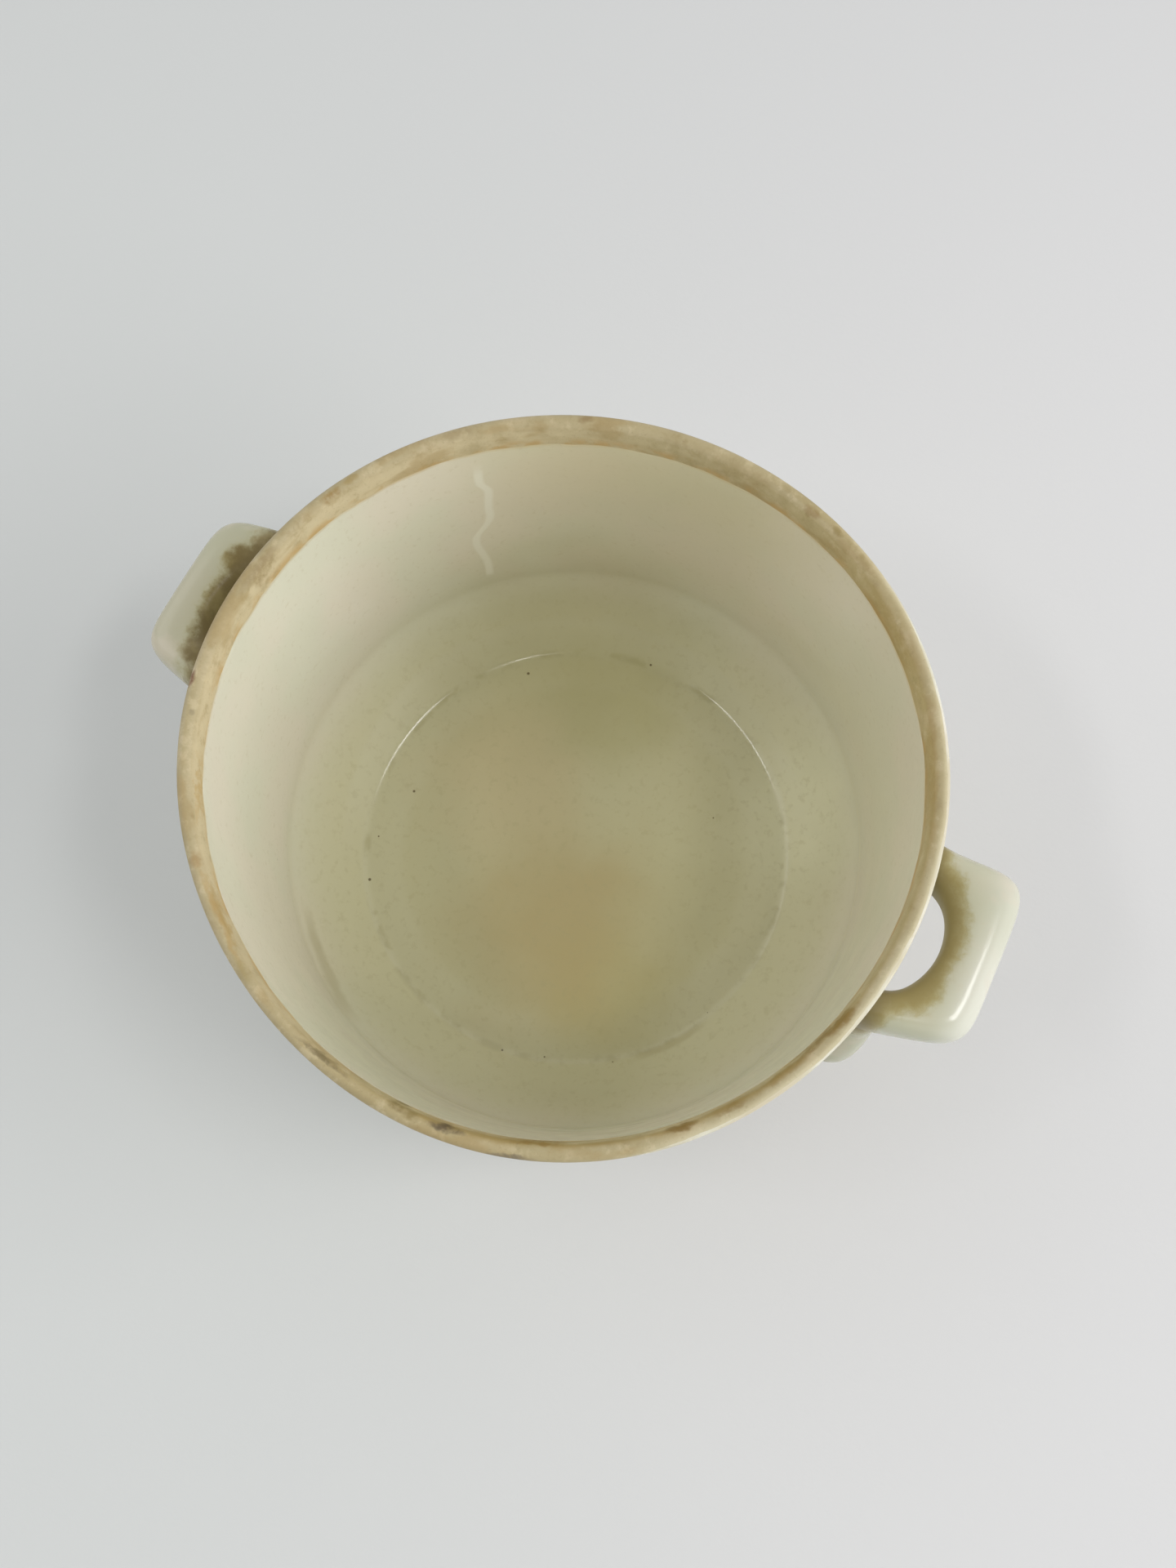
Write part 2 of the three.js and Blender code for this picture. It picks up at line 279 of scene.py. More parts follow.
class Finish:
    """The nodes of a material, which start from where a point lies on the pot, or those of the
    sky, which start from a direction."""

    def __init__(self, owner, start="Object"):
        owner.use_nodes = True
        self.owner = owner
        self.tree = owner.node_tree
        self.tree.nodes.clear()
        self.place = self.node("TexCoord", output=start)

    def node(self, kind, settings=None, inputs=None, output=0):
        """Adds a node: its settings first, then values or wires on its sockets."""
        made = self.tree.nodes.new("ShaderNode" + kind)
        for setting, value in (settings or {}).items():
            if setting == "stops":
                ramp = made.color_ramp
                ramp.interpolation = "CARDINAL"
                while len(ramp.elements) < len(value):
                    ramp.elements.new(0.5)
                for element, (position, grey) in zip(ramp.elements, value):
                    element.position = position
                    element.color = (grey, grey, grey, 1)
            else:
                setattr(made, setting, value)
        for name, value in (inputs or {}).items():
            if isinstance(value, Wire):
                self.tree.links.new(value.socket, made.inputs[name])
            else:
                made.inputs[name].default_value = value
        if made.outputs:
            return Wire(self, made.outputs[output])

    def maths(self, operation, *values):
        return self.node("Math", {"operation": operation}, dict(enumerate(values)))

    def vector(self, operation, *values, output=0):
        """Vector maths. The output called Value is a number."""
        return self.node("VectorMath", {"operation": operation}, dict(enumerate(values)), output)

    def scaled(self, vector, by):
        return self.node("VectorMath", {"operation": "SCALE"}, {0: vector, "Scale": by})

    def along(self, vector, direction):
        """How far a vector reaches in a direction."""
        return self.vector("DOT_PRODUCT", vector, direction, output="Value")

    def coordinate(self, axis):
        return self.node("SeparateXYZ", {}, {"Vector": self.place}, axis)

    def mark(self, name):
        """A value that the mesh holds for each point."""
        return self.node("Attribute", {"attribute_name": name}, output="Fac")

    def ramp(self, value, low, high, low_value=0.0, high_value=1.0):
        """Smooth change from one value to another as a wire goes from low to high."""
        return self.node(
            "MapRange",
            {"interpolation_type": "SMOOTHSTEP"},
            {"Value": value, "From Min": low, "From Max": high, "To Min": low_value, "To Max": high_value},
        )

    def mottle(self, size, detail=3.0, roughness=0.55):
        """Cloudy noise around 0.5 whose clouds are about size metres across."""
        inputs = {"Vector": self.place, "Scale": 1 / size, "Detail": detail, "Roughness": roughness}
        return self.node("TexNoise", {}, inputs)

    def blend(self, under, over, amount):
        """One colour laid over another."""
        return self.node("Mix", {"data_type": "RGBA"}, {0: amount, 6: under, 7: over}, output=2)

    def flat_place(self):
        """Where a point lies as seen from above."""
        return self.vector("MULTIPLY", self.place, (1, 1, 0))

    def toward(self, bearing):
        """1 on the side of the pot that faces a bearing, -1 on the opposite side."""
        turn = radians(bearing)
        return self.along(self.vector("NORMALIZE", self.flat_place()), (cos(turn), sin(turn), 0))

    def streaks(self, across, length, width, detail=3.0):
        """Cloudy noise drawn out along the rim. across is the distance over it."""
        wound = self.scaled(self.vector("NORMALIZE", self.flat_place()), rim_radius / length)
        height = self.node("CombineXYZ", {}, {"Z": across / width})
        wound = self.vector("ADD", wound, height)
        return self.node("TexNoise", {}, {"Vector": wound, "Scale": 1.0, "Detail": detail})

    def strayed(self, fineness, detail, reach):
        """Where a point lies, moved about by noise, so that what is drawn there has a ragged edge."""
        clouds = {"Vector": self.place, "Scale": fineness, "Detail": detail}
        drift = self.vector("SUBTRACT", self.node("TexNoise", {}, clouds, "Color"), (0.5, 0.5, 0.5))
        return self.vector("ADD", self.place, self.scaled(drift, reach))

    def spot(self, place, middle, core, edge):
        """1 within a distance core of a middle, falling to 0 at a distance edge."""
        return self.ramp(self.vector("DISTANCE", place, middle, output="Value"), core, edge, 1.0, 0.0)

    def smear(self, place, bearing, radius, length, width):
        """1 at the middle of an oval smear that lies along the rim, falling to 0 at its edge."""
        turn = radians(bearing)
        x, y, z = fired(radius * cos(turn), radius * sin(turn), pot_height)
        away = self.vector("SUBTRACT", place, (float(x), float(y), z))
        lengthwise = (self.along(away, (-sin(turn), cos(turn), 0)) * (2 / length)) ** 2
        crosswise = (self.along(away, (cos(turn), sin(turn), 0)) * (2 / width)) ** 2
        return self.ramp(lengthwise + crosswise, 0.0, 1.1, 1.0, 0.0)

    def surface(self, colour, roughness, bump, bump_height):
        """Ends the finish in one shader, with a fine relief on top."""
        relief = self.node("Bump", {}, {"Height": bump, "Distance": bump_height})
        inputs = {"Base Color": colour, "Roughness": roughness, "Normal": relief}
        shader = self.node("BsdfPrincipled", {}, inputs)
        self.node("OutputMaterial", {}, {"Surface": shader})
        return self.owner


bare = Finish(bpy.data.materials.new("bare stained clay"))
past_inner = bare.mark("past_inner_edge")
leftwards = bare.ramp(bare.toward(-168), -0.1, 0.75)
clay_colour = bare.blend(tone(182, 164, 116), tone(188, 174, 136), bare.ramp(bare.toward(125), 0.2, 0.95))
clay_colour = bare.blend(clay_colour, tone(185, 172, 133), bare.ramp(bare.toward(-40), 0.3, 1.0))
on_top = bare.ramp(past_inner, 0.0045, 0.0085)
# on the left, the lip's inner side is painted paler and its top darker, as painted light and shade
left_clay_lit_and_shaded = bare.blend(tone(197, 182, 147), tone(182, 168, 130), on_top)
clay_colour = bare.blend(clay_colour, left_clay_lit_and_shaded, leftwards)
# painted shade: the top of the lip darker all round
clay_colour = bare.blend(clay_colour, tone(146, 129, 88), on_top * 0.32)
# painted light: the inner side of the lip paler on the left
painted_light_inside = bare.ramp(past_inner, 0.0070, 0.0030) * bare.ramp(bare.toward(170), 0.2, 0.9)
clay_colour = bare.blend(clay_colour, tone(222, 208, 172), painted_light_inside * 0.35)
soft_clouds = bare.mottle(0.011, detail=5.0, roughness=0.6)
clay_colour = bare.blend(clay_colour, tone(206, 188, 152), bare.ramp(soft_clouds, 0.50, 0.68) * 0.4)
clay_colour = bare.blend(clay_colour, tone(152, 135, 92), bare.ramp(soft_clouds, 0.47, 0.30) * 0.4)
small_clouds = bare.mottle(0.0042, detail=4.0, roughness=0.65)
clay_colour = bare.blend(clay_colour, tone(212, 197, 160), bare.ramp(small_clouds, 0.48, 0.34) * 0.35)
clay_colour = bare.blend(clay_colour, tone(150, 130, 84), bare.ramp(small_clouds, 0.54, 0.70) * 0.35)
wide_streaks = bare.streaks(past_inner, 0.016, 0.0055, detail=4.0)
clay_colour = bare.blend(clay_colour, tone(160, 134, 82), bare.ramp(wide_streaks, 0.50, 0.66) * 0.45)
# the glaze outside thins out to a pale haze where it climbs over the edge
haze = bare.ramp(bare.mark("short_of_outer_edge"), 0.0022, -0.0006) * bare.ramp(bare.toward(4), 0.25, 0.75)
clay_colour = bare.blend(clay_colour, tone(206, 197, 165), haze * 0.75)
# fat gathered on the inner side of the lip, and iron along the edge of the inside glaze
lip_line = bare.ramp(past_inner, 0.0038, 0.0052) * bare.ramp(past_inner, 0.0078, 0.0062)
lip_line = lip_line * bare.ramp(bare.toward(-38), 0.35, 0.9)
lip_line = lip_line * bare.ramp(wide_streaks, 0.35, 0.6, 0.2, 0.75)
clay_colour = bare.blend(clay_colour, tone(158, 134, 76), lip_line)
brown_line = bare.ramp(past_inner, 0.0036, 0.0004) * bare.ramp(past_inner, -0.0012, 0.0002)
line_breaks = bare.ramp(bare.streaks(past_inner, 0.007, 0.005, detail=4.0), 0.42, 0.62, 0.05, 0.85)
clay_colour = bare.blend(clay_colour, tone(192, 156, 98), brown_line * line_breaks * 0.8)
# burnt and greasy marks: bearing; distance from the axis, length and width in millimetres;
# colour, strength
rim_marks = [
    (-128.0, 87.0, 32.0, 1.6, tone(172, 142, 84), 0.55),
    (-150.0, 86.0, 22.0, 1.2, tone(184, 152, 94), 0.5),
    (22.0, 86.4, 44.0, 2.4, tone(164, 138, 84), 0.45),
    (48.0, 86.0, 28.0, 3.0, tone(166, 142, 88), 0.5),
    (86.0, 87.0, 30.0, 3.0, tone(158, 138, 92), 0.4),
    (-22.0, 86.6, 22.0, 1.6, tone(128, 100, 44), 0.6),
    (-80.0, 87.2, 10.0, 2.2, tone(94, 80, 56), 0.85),
    (-87.6, 86.9, 6.0, 3.2, tone(126, 108, 60), 0.8),
    (-85.2, 87.6, 5.0, 3.0, tone(134, 116, 66), 0.7),
    (-101.0, 87.3, 17.0, 1.7, tone(118, 104, 70), 0.75),
    (-70.5, 89.6, 13.0, 1.5, tone(116, 105, 84), 0.7),
    (-67.0, 86.4, 15.0, 1.9, tone(146, 118, 58), 0.8),
    (-46.2, 87.0, 9.0, 2.4, tone(130, 104, 48), 0.85),
    (-39.0, 87.2, 9.0, 2.0, tone(138, 112, 54), 0.6),
    (-18.0, 87.2, 12.0, 2.4, tone(138, 112, 52), 0.75),
    (-30.0, 87.0, 16.0, 2.0, tone(146, 120, 60), 0.5),
    (112.0, 88.4, 5.0, 2.2, tone(140, 116, 74), 0.6),
    (133.0, 88.2, 12.0, 3.4, tone(152, 134, 96), 0.5),
    (155.9, 87.6, 7.0, 2.8, tone(146, 118, 62), 0.75),
    (152.0, 88.2, 6.0, 2.4, tone(156, 134, 82), 0.6),
    (172.5, 87.2, 16.0, 3.2, tone(144, 124, 82), 0.7),
    (-166.9, 89.4, 5.0, 2.4, tone(120, 80, 46), 0.9),
    (-161.5, 87.7, 1.8, 1.8, tone(138, 126, 98), 0.5),
    (-138.0, 88.0, 5.0, 3.0, tone(160, 130, 82), 0.55),
    (-119.0, 88.4, 9.0, 3.0, tone(152, 134, 84), 0.45),
    (66.0, 88.2, 5.0, 2.0, tone(142, 122, 68), 0.6),
    (60.0, 88.0, 14.0, 2.4, tone(152, 132, 80), 0.45),
    (71.0, 87.6, 6.0, 2.6, tone(144, 116, 64), 0.6),
]
broken = bare.ramp(bare.mottle(0.0024, detail=5.0, roughness=0.65), 0.34, 0.56, 0.5, 1.15)
ragged = bare.strayed(400.0, 3.0, 0.002)
for bearing, reach, length, width, colour, strength in rim_marks:
    patch = bare.smear(ragged, bearing, reach / 1000, length / 1000, width / 1000)
    clay_colour = bare.blend(clay_colour, colour, patch * broken * strength)
clay_grain = bare.mottle(0.0007, detail=5.0)
clay_colour = bare.blend(clay_colour, tone(140, 120, 82), bare.ramp(clay_grain, 0.55, 0.8) * 0.35)
pits = clay_grain * 0.5 + bare.mottle(0.003) * 0.5
clay_sheen = bare.ramp(wide_streaks, 0.35, 0.65, 0.38, 0.55)
clay_pot.data.materials.append(bare.surface(clay_colour, clay_sheen, pits, 0.00008))
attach(clay_pot, "root")
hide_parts("pot_body")


# The three coats of glaze: a clear cream glaze, a little green where it is thick, fused to the
# clay inside, outside and under the base. Each thins out to a sliver where it was wiped off.
def ripples(radius, height):
    """The slow waves of a glaze that ran a little before it set, and the rings of the turning."""
    x, y = radius * np.cos(bearings), radius * np.sin(bearings)
    spots = zip(x.ravel(), y.ravel(), height.ravel())
    waves = [noise.noise(Vector(spot) * 40) + 0.4 * noise.noise(Vector(spot) * 105) for spot in spots]
    waves = 0.00007 * np.array(waves).reshape(radius.shape)
    return waves + 0.00012 * eased(radius, 0.0505, 0.0535) * (height < inside_wall_foot[1])


def coat(name, start, end, thins_at_start, thins_at_end):
    """A closed skin of glaze from one run along the profile to another."""
    edge_band, edge_step, middle_step = 0.009, 0.0004, 0.0013
    edge_top, edge_back = 2 * bare_depth, 4 * bare_depth
    no_edge = 1.0
    near_edge = np.arange(0, edge_band, edge_step)[:, None]
    first = start + near_edge
    last = end - near_edge[::-1]
    count = int(np.mean(last[0] - first[-1]) / middle_step)
    shares = np.linspace(0, 1, count + 1)[1:-1, None]
    run = np.concatenate([first, first[-1] + (last[0] - first[-1]) * shares, last])
    from_edge = np.full(run.shape, no_edge)
    if thins_at_start:
        from_edge = np.minimum(from_edge, run - start)
    if thins_at_end:
        from_edge = np.minimum(from_edge, end - run)
    radius, height = on_outline(run)
    depth = edge_top * (1 - eased(from_edge, 0, 0.002))
    depth -= ripples(radius, height) * eased(from_edge, 0.001, 0.006)
    top_radius, top_height = on_outline(run, depth)
    back = run[::-1]
    thinned = (glaze_thickness - edge_back) * (1 - eased(from_edge[::-1], 0, 0.0008))
    back_depth = glaze_thickness - thinned
    back_radius, back_height = on_outline(back, back_depth)
    if not thins_at_start:
        top_radius[0] = back_radius[-1] = 0
    if not thins_at_end:
        top_radius[-1] = back_radius[0] = 0
    whole = np.concatenate([run, back])
    marks = {"past_start": whole - start, "short_of_end": end - whole}
    radius = np.concatenate([top_radius, back_radius])
    height = np.concatenate([top_height, back_height])
    return turned(name, radius, height, marks)


overlap = 0.001
inside_coat = coat("inside_coat", 0 * bearings, inner_edge + overlap, False, True)
outside_coat = coat("outside_coat", outer_edge - overlap, foot_outer_edge + overlap, True, True)
base_coat = coat("base_coat", foot_inner_edge - overlap, pot_run[-1] + 0 * bearings, True, False)


def glaze_colour(glaze, main, warm, cool):
    """Cream glaze with warmer and greener clouds, a faint grain and a few iron specks."""
    clouds = glaze.ramp(glaze.mottle(0.035, detail=2.0), 0.35, 0.65)
    colour = glaze.blend(cool, warm, clouds)
    colour = glaze.blend(main, colour, 0.6)
    grain = glaze.ramp(glaze.mottle(0.0016, detail=3.0), 0.55, 0.8)
    colour = glaze.blend(colour, tone(196, 186, 158), grain * 0.35)
    cells = {"Vector": glaze.place, "Scale": 75.0}
    distance = glaze.node("TexVoronoi", {}, cells, output="Distance")
    lot = glaze.node("TexVoronoi", {}, cells, output="Color")
    lot = glaze.node("SeparateColor", {}, {"Color": lot}, output="Red")
    speck = glaze.ramp(distance, 0.012, 0.03, 1.0, 0.0) * glaze.ramp(lot, 0.78, 0.80)
    return glaze.blend(colour, tone(112, 96, 62), speck * 0.7)


def glaze_surface(glaze, colour, dulled=None, ridge=None):
    """Glossy, with the faint orange-peel of a thin glaze; dulled is how far stains took the gloss."""
    gloss = glaze.ramp(glaze.mottle(0.012), 0.3, 0.7, 0.13, 0.19)
    if dulled:
        gloss = gloss + dulled * 0.25
    peel = glaze.mottle(0.0035, detail=2.0) * 0.7 + glaze.mottle(0.0011, detail=2.0) * 0.3
    if ridge:
        peel = peel + ridge * 1.6
    return glaze.surface(colour, gloss, peel, 0.00003)


cream = tone(223, 219, 202)
cream_warm = tone(225, 217, 201)
cream_green = tone(217, 218, 198)

inner = Finish(bpy.data.materials.new("inside glaze"))
inside_colour = glaze_colour(inner, cream, cream_warm, cream_green)
# the rim's stain goes on over the last of the glaze
from_rim = inner.mark("short_of_end") - overlap
rim_stain = inner.ramp(from_rim, 0.0012, 0.0)
rim_stain = rim_stain * inner.ramp(inner.streaks(from_rim, 0.012, 0.005, detail=4.0), 0.30, 0.62)
inside_colour = inner.blend(inside_colour, tone(186, 160, 106), rim_stain * 0.7)
upright = inner.coordinate("Z")
# darker and greener towards the bottom, over the floor and the cove
inside_colour = inner.blend(inside_colour, tone(207, 203, 165), inner.ramp(upright, 0.042, 0.012) * 0.9)
straight_out = inner.vector("LENGTH", inner.flat_place(), output="Value")
# the middle of the floor is darker, so that the paler band round its edge is a painted reflection
from_axis = straight_out + inner.mottle(0.02, detail=4.0) * 0.005
inside_colour = inner.blend(inside_colour, tone(196, 190, 144), inner.ramp(from_axis, 0.0575, 0.0525) * 0.3)
# food stains and paler patches, on the floor and in the cove, with a painted light on the right of the cove
# and a painted shade in the far cove: x, y and width in millimetres, colour, strength
floor_stains_and_painted_light = [
    (-27, 12, 62, tone(206, 188, 146), 0.45),
    (-8, 47, 50, tone(184, 180, 128), 0.35),
    (30, -34, 48, tone(186, 178, 112), 0.35),
    (7, -24, 78, tone(190, 171, 120), 0.68),
    # painted light: the right of the cove paler
    (60, 42, 62, tone(232, 230, 198), 0.5),
    (36, -4, 50, tone(184, 178, 130), 0.2),
    (36, -58, 56, tone(190, 184, 138), 0.22),
    # painted shade: the far cove darker
    (-33, 60, 100, tone(172, 164, 112), 0.42),
]
ragged = inner.strayed(45.0, 4.0, 0.03)
for x, y, width, colour, strength in floor_stains_and_painted_light:
    middle = (x / 1000, y / 1000, floor_height)
    patch = inner.spot(ragged, middle, 0.1 * width / 1000, 0.6 * width / 1000)
    inside_colour = inner.blend(inside_colour, colour, patch * strength)
# painted shade lies in short dashes along the crease round the floor
crease_shade = inner.ramp(inner.maths("ABSOLUTE", straight_out - inside_floor_edge[0]), 0.0018, 0.0002)
crease_shade = crease_shade * inner.ramp(inner.streaks(straight_out, 0.011, 0.006, detail=5.0), 0.48, 0.66)
inside_colour = inner.blend(inside_colour, tone(168, 160, 112), crease_shade * 0.4)
# dirt in thin arcs: bearing, distance from the axis, half its spread in degrees
for bearing, radius, spread in ((234, 0.0805, 15), (322, 0.0652, 12)):
    strays = (inner.mottle(0.02) - 0.5) * 0.004
    arc = inner.ramp(inner.maths("ABSOLUTE", straight_out + strays - radius), 0.0016, 0.0003)
    arc = arc * inner.ramp(inner.toward(bearing), cos(radians(spread)), cos(radians(spread / 3)))
    inside_colour = inner.blend(inside_colour, tone(160, 148, 100), arc * 0.35)
# years of spoons scuffed the floor
scuffs = inner.ramp(inner.mottle(0.0026, detail=5.0, roughness=0.65), 0.50, 0.70)
scuffs = scuffs * inner.ramp(upright, 0.035, 0.015)
inside_colour = inner.blend(inside_colour, tone(184, 176, 134), scuffs * 0.3)
# the wall is yellower on one side, most of all high up on the far side
yellower_wall = inner.ramp(inner.toward(70), -0.2, 0.9) * 0.3
yellower_wall = yellower_wall + inner.ramp(inner.toward(98), 0.75, 1.0) * inner.ramp(upright, 0.055, 0.095) * 0.3
inside_colour = inner.blend(inside_colour, tone(210, 198, 156), yellower_wall * inner.ramp(upright, 0.02, 0.05))
# a crooked run of thicker glaze down the far wall, raised in the relief and painted paler as a painted
# highlight: height in millimetres, bearing
glaze_run = [
    (38, 133.4), (43, 133.3), (47, 133.5), (51, 134.0), (55, 134.5), (58.5, 134.5), (61, 134.0), (63, 133.0),
    (65.5, 131.8), (69, 130.9), (74, 130.8), (78, 130.5), (83, 130.3), (86.5, 131.4), (95, 131.2),
]
run_foot, run_height = 0.037, 0.058
run_bearing, run_span = 125, 15
turned_by = inner.maths("ARCTAN2", inner.coordinate("Y"), inner.coordinate("X"))
stops = [
    ((high / 1000 - run_foot) / run_height, (bearing - run_bearing) / run_span)
    for high, bearing in glaze_run
]
up_the_run = (upright - run_foot) / run_height
middle = inner.node("ValToRGB", {"stops": stops}, {"Fac": up_the_run})
middle = middle * radians(run_span) + radians(run_bearing)
from_run = inner.maths("ABSOLUTE", turned_by - middle) * rim_radius
run_ridge_and_highlight = inner.ramp(from_run, 0.0018, 0.0006) * inner.ramp(up_the_run, -0.03, 0.03)
run_ridge_and_highlight = run_ridge_and_highlight * inner.ramp(up_the_run, 1.03, 0.9)
# painted highlight along the run
inside_colour = inner.blend(inside_colour, tone(234, 231, 214), run_ridge_and_highlight * 0.7)
# dark specks burnt into the glaze: x, y, z, width in millimetres
burnt_specks = [
    (-38.5, 44.8, 10.5, 1.0),
    (-53.1, -5.1, 10.5, 0.9),
    (-52.2, -35.6, 10.6, 1.0),
    (-4.6, 63.9, 11.0, 0.8),
    (7.4, -63.5, 10.8, 0.8),
    (37.9, -52.3, 11.6, 0.7),
    (-65.4, 18.4, 12.0, 0.6),
    (-56.2, -22.5, 10.5, 0.6),
    (19.4, -59.8, 10.5, 0.7),
    (23.7, -59.3, 10.5, 0.7),
    (56.9, -27.4, 10.5, 0.6),
    (33.9, 27.1, 10.5, 0.5),
    (49.6, -40.4, 10.6, 0.6),
]
for x, y, z, width in burnt_specks:
    middle = (x / 1000, y / 1000, z / 1000)
    patch = inner.spot(inner.place, middle, 0.3 * width / 1000, 0.6 * width / 1000)
    inside_colour = inner.blend(inside_colour, tone(92, 74, 44), patch * 0.85)
inside_coat.data.materials.append(glaze_surface(inner, inside_colour, rim_stain, run_ridge_and_highlight))

outer = Finish(bpy.data.materials.new("outside glaze"))
outside_colour = glaze_colour(outer, cream, cream_warm, cream_green)
from_rim = outer.mark("past_start") - overlap
grime = outer.ramp(from_rim, 0.0040, 0.0005)
grime = grime * outer.ramp(outer.streaks(from_rim, 0.014, 0.004, detail=4.0), 0.30, 0.62)
grime = grime * outer.ramp(outer.toward(4), 0.75, 0.2, 0.8, 1.0)
outside_colour = outer.blend(outside_colour, tone(192, 179, 142), grime * 0.8)
outside_coat.data.materials.append(glaze_surface(outer, outside_colour, grime))

below = Finish(bpy.data.materials.new("base glaze"))
base_coat.data.materials.append(glaze_surface(below, glaze_colour(below, cream, cream_warm, cream_green)))

for piece, node, slot in (
    (inside_coat, "inside_glaze", "inside_glaze"),
    (outside_coat, "outside_glaze", "outside_glaze"),
    (base_coat, "base_glaze", "outside_glaze"),
):
    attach(piece, "root")
    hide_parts(node)


# The two handles: cast lugs with a half-moon finger hole, whose arms run down the wall as
# tongues. They were stuck on with slip and glazed with the pot, so every join is rounded.
handle_top = 0.090
handle_reach = 0.0232
root_depth = 0.006
root_width = 0.0475
outer_width = 0.0385
corner_sharpness = 7
grip_height = 0.0125
root_height = 0.018
hole_width = 0.028
hole_reach = 0.0097
edge_sharpness = 2.6
tongue_length = 0.038
tongue_width = 0.013
tongue_rise = 0.0105
tongue_neck = 0.35
tongue_splay = 0.011
handle_turn = radians(2)
points_per_grip_ring = 40
points_per_tongue_ring = 24
clay_voxel = 0.0005


def superellipse(angle, across, along, sharpness):
    """How far a squared oval reaches from its middle at an angle."""
    flat = abs(cos(angle) / across) ** sharpness + abs(sin(angle) / along) ** sharpness
    return flat ** (-1 / sharpness)


def loft(rings):
    """Points and faces of a skin between rings of equally many points, closed at both ends."""
    count = len(rings[0])
    points = [point for ring in rings for point in ring]
    faces = []
    for i in range(len(rings) - 1):
        for j in range(count):
            a, b = i * count + j, i * count + (j + 1) % count
            faces.append((a, b, b + count, a + count))
    faces.append(tuple(range(count)))
    faces.append(tuple(range((len(rings) - 1) * count, len(rings) * count)))
    return points, faces


def lug_ring(angle, set_back):
    """The section of the grip where a fan about the wall cuts it."""
    hole = superellipse(angle, hole_width / 2, hole_reach, 2)
    outer = superellipse(angle, root_width / 2, handle_reach, corner_sharpness)
    height = grip_height + (root_height - grip_height) * abs(cos(angle)) ** 6
    middle, half_width = (hole + outer) / 2, (outer - hole) / 2
    ring = []
    for j in range(points_per_grip_ring):
        turn = 2 * pi * j / points_per_grip_ring
        spread = superellipse(turn, 1, 1, edge_sharpness)
        out = middle + half_width * spread * cos(turn)
        reach = out * sin(angle)
        taper = 1 - (1 - outer_width / root_width) * reach / handle_reach
        up = handle_top - height / 2 * (1 + spread * sin(turn))
        ring.append((rim_radius + reach - set_back, -out * cos(angle) * taper, up))
    return ring


def tongue_ring(side, share):
    """The section of a tongue at a share of its way down the wall."""
    down = sin(pi / 2 * share)
    full = (1 - (1 - down) * tongue_neck) * max(1 - down**6, 0) ** 0.5
    bearing = side * ((root_width + hole_width) / 4 + tongue_splay * down) / rim_radius
    height = handle_top - grip_height - tongue_length * down
    ring = []
    for j in range(points_per_tongue_ring):
        turn = 2 * pi * j / points_per_tongue_ring
        distance = rim_radius - wall_draft + tongue_rise * full * cos(turn)
        aside = bearing - tongue_width / 2 * full * sin(turn) / rim_radius
        ring.append((distance * cos(aside), distance * sin(aside), height))
    return ring


def wall_slab(front, back, half_angle, low, high):
    """A curved slab of the wall between two depths, to cut or to build on."""
    rows_up, points_across = 40, 48
    (foot, foot_height), (lip, lip_height) = outside_wall_foot, rim_lip[-1]
    rows = []
    for height in np.linspace(low, high, rows_up):
        wall = np.interp(height, (foot_height, lip_height), (foot, lip))
        row = []
        for depth, way in ((front, 1), (back, -1)):
            for angle in way * np.linspace(-half_angle, half_angle, points_across):
                row.append(((wall - depth) * cos(angle), (wall - depth) * sin(angle), height))
        rows.append(row)
    return loft(rows)


def joined(name, parts):
    """One mesh made of several skins."""
    points, faces = [], []
    for part_points, part_faces in parts:
        faces += [tuple(len(points) + k for k in face) for face in part_faces]
        points += part_points
    return new_piece(name, points, faces)


def settle(piece, kind, **settings):
    """Puts one modifier on a piece and makes its result the piece's mesh."""
    modifier = piece.modifiers.new(kind, kind)
    for setting, value in settings.items():
        setattr(modifier, setting, value)
    bpy.context.view_layer.update()
    settled = piece.evaluated_get(bpy.context.evaluated_depsgraph_get())
    result = bpy.data.meshes.new_from_object(settled)
    piece.modifiers.clear()
    piece.data = result


def biggest_body(piece):
    """Drops loose crumbs that a cut left behind."""
    shape = bmesh.new()
    shape.from_mesh(piece.data)
    left = set(shape.verts)
    bodies = []
    while left:
        body, edge = set(), [left.pop()]
        while edge:
            vert = edge.pop()
            body.add(vert)
            near = {e.other_vert(vert) for e in vert.link_edges} & left
            left -= near
            edge.extend(near)
        bodies.append(body)
    keep = max(bodies, key=len)
    bmesh.ops.delete(shape, geom=[v for v in shape.verts if v not in keep], context="VERTS")
    shape.to_mesh(piece.data)
    shape.free()
    piece.data.shade_smooth()


